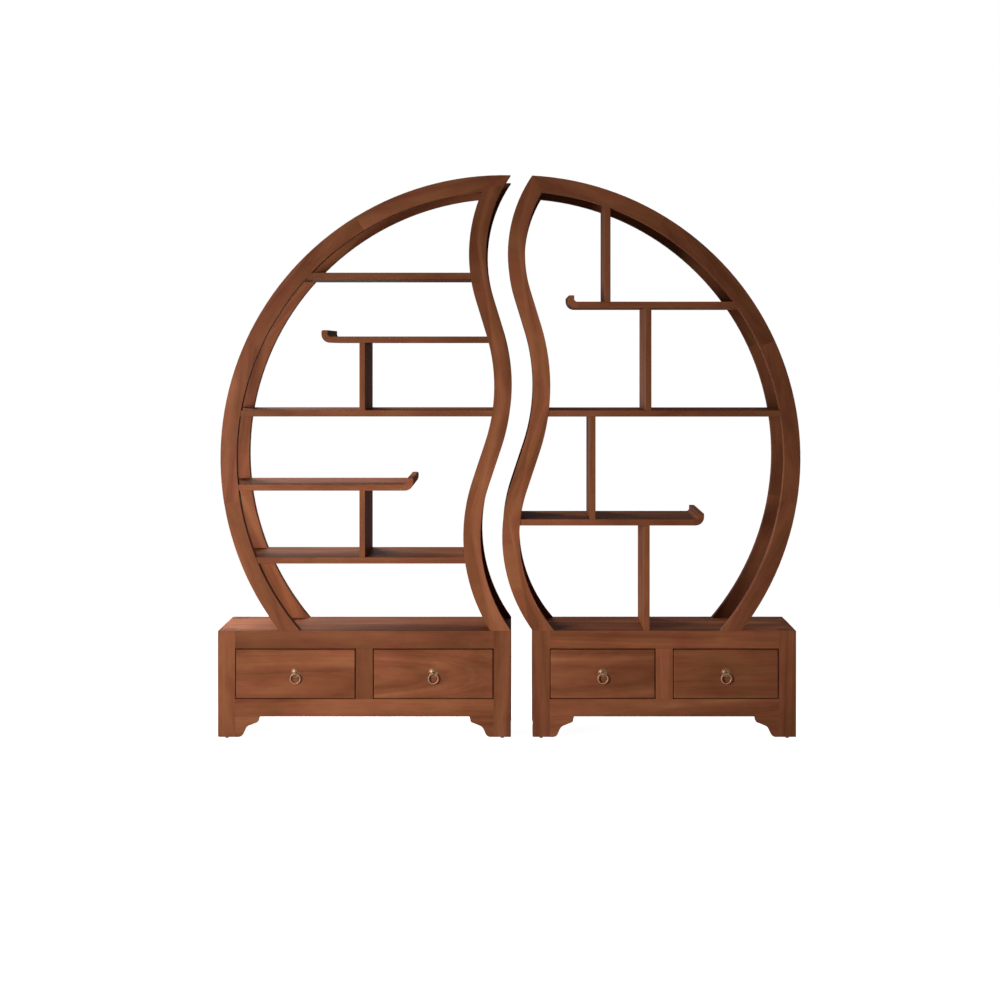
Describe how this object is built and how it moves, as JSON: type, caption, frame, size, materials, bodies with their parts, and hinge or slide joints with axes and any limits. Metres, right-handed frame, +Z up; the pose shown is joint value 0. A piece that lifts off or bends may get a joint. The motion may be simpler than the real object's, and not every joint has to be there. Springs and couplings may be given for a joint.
{
  "type": "book cabinet",
  "caption": "Round open display cabinet parted by an S curve into halves, each on a low drawer base with bracket feet and ring pulls.",
  "frame": {"origin": "bottom centre of the box round both cabinets, on the floor under the glides", "axes": "+X to the right seen from the front, -Y out of the front where the drawers open, +Z up"},
  "size_m": [2.0219, 0.3625, 1.9549],
  "materials": {
    "stained_teak": "reddish-brown stain under a satin lacquer",
    "plain_teak": "planed, unstained, inside the base",
    "antique_brass": "aged, rubbed bright on the high spots",
    "nylon_glide": "moulded, dark"
  },
  "bodies": {
    "left_cabinet": {"left_legs": "stained_teak", "left_top_rails": "stained_teak", "left_bottom_rails": "stained_teak", "left_brackets": "stained_teak", "left_centre_stile": "stained_teak", "left_top_board": "stained_teak", "left_carcass_panels": "plain_teak", "left_drawer_runners": "plain_teak", "left_glides": "nylon_glide", "left_arc_front": "stained_teak", "left_arc_back": "stained_teak", "left_post_front": "stained_teak", "left_post_back": "stained_teak", "left_post_lining": "stained_teak", "left_shelf_1": "stained_teak", "left_shelf_2": "stained_teak", "left_shelf_3": "stained_teak", "left_shelf_4": "stained_teak", "left_shelf_5": "stained_teak", "left_divider_1": "stained_teak", "left_divider_2": "stained_teak"},
    "right_cabinet": {"right_legs": "stained_teak", "right_top_rails": "stained_teak", "right_bottom_rails": "stained_teak", "right_brackets": "stained_teak", "right_centre_stile": "stained_teak", "right_top_board": "stained_teak", "right_carcass_panels": "plain_teak", "right_drawer_runners": "plain_teak", "right_glides": "nylon_glide", "right_arc_front": "stained_teak", "right_arc_back": "stained_teak", "right_post_front": "stained_teak", "right_post_back": "stained_teak", "right_post_lining": "stained_teak", "right_shelf_1": "stained_teak", "right_shelf_2": "stained_teak", "right_shelf_3": "stained_teak", "right_divider_1": "stained_teak", "right_divider_2": "stained_teak", "right_divider_3": "stained_teak", "right_divider_4": "stained_teak"},
    "drawer_1": {"drawer_1_front": "stained_teak", "drawer_1_box": "plain_teak", "drawer_1_plate": "antique_brass"},
    "ring_1": {"drawer_1_ring": "antique_brass"},
    "drawer_2": {"drawer_2_front": "stained_teak", "drawer_2_box": "plain_teak", "drawer_2_plate": "antique_brass"},
    "ring_2": {"drawer_2_ring": "antique_brass"},
    "drawer_3": {"drawer_3_front": "stained_teak", "drawer_3_box": "plain_teak", "drawer_3_plate": "antique_brass"},
    "ring_3": {"drawer_3_ring": "antique_brass"},
    "drawer_4": {"drawer_4_front": "stained_teak", "drawer_4_box": "plain_teak", "drawer_4_plate": "antique_brass"},
    "ring_4": {"drawer_4_ring": "antique_brass"}
  },
  "joints": [
    {"name": "right_cabinet_shift", "type": "slide", "parent": "left_cabinet", "child": "right_cabinet", "axis": [1, 0, 0], "range_m": [-0.07, 0.3]},
    {"name": "drawer_1_slide", "type": "slide", "parent": "left_cabinet", "child": "drawer_1", "axis": [0, -1, 0], "range_m": [0, 0.24]},
    {"name": "drawer_2_slide", "type": "slide", "parent": "left_cabinet", "child": "drawer_2", "axis": [0, -1, 0], "range_m": [0, 0.24]},
    {"name": "drawer_3_slide", "type": "slide", "parent": "right_cabinet", "child": "drawer_3", "axis": [0, -1, 0], "range_m": [0, 0.24]},
    {"name": "drawer_4_slide", "type": "slide", "parent": "right_cabinet", "child": "drawer_4", "axis": [0, -1, 0], "range_m": [0, 0.24]},
    {"name": "ring_1_swing", "type": "hinge", "parent": "drawer_1", "child": "ring_1", "pos_m": [-0.74175, -0.17675, 0.2255], "axis": [-1, 0, 0], "range_deg": [-8, 188]},
    {"name": "ring_2_swing", "type": "hinge", "parent": "drawer_2", "child": "ring_2", "pos_m": [-0.26325, -0.17675, 0.2255], "axis": [-1, 0, 0], "range_deg": [-8, 188]},
    {"name": "ring_3_swing", "type": "hinge", "parent": "drawer_3", "child": "ring_3", "pos_m": [0.32475, -0.17675, 0.2255], "axis": [-1, 0, 0], "range_deg": [-8, 188]},
    {"name": "ring_4_swing", "type": "hinge", "parent": "drawer_4", "child": "ring_4", "pos_m": [0.75225, -0.17675, 0.2255], "axis": [-1, 0, 0], "range_deg": [-8, 188]}
  ]
}
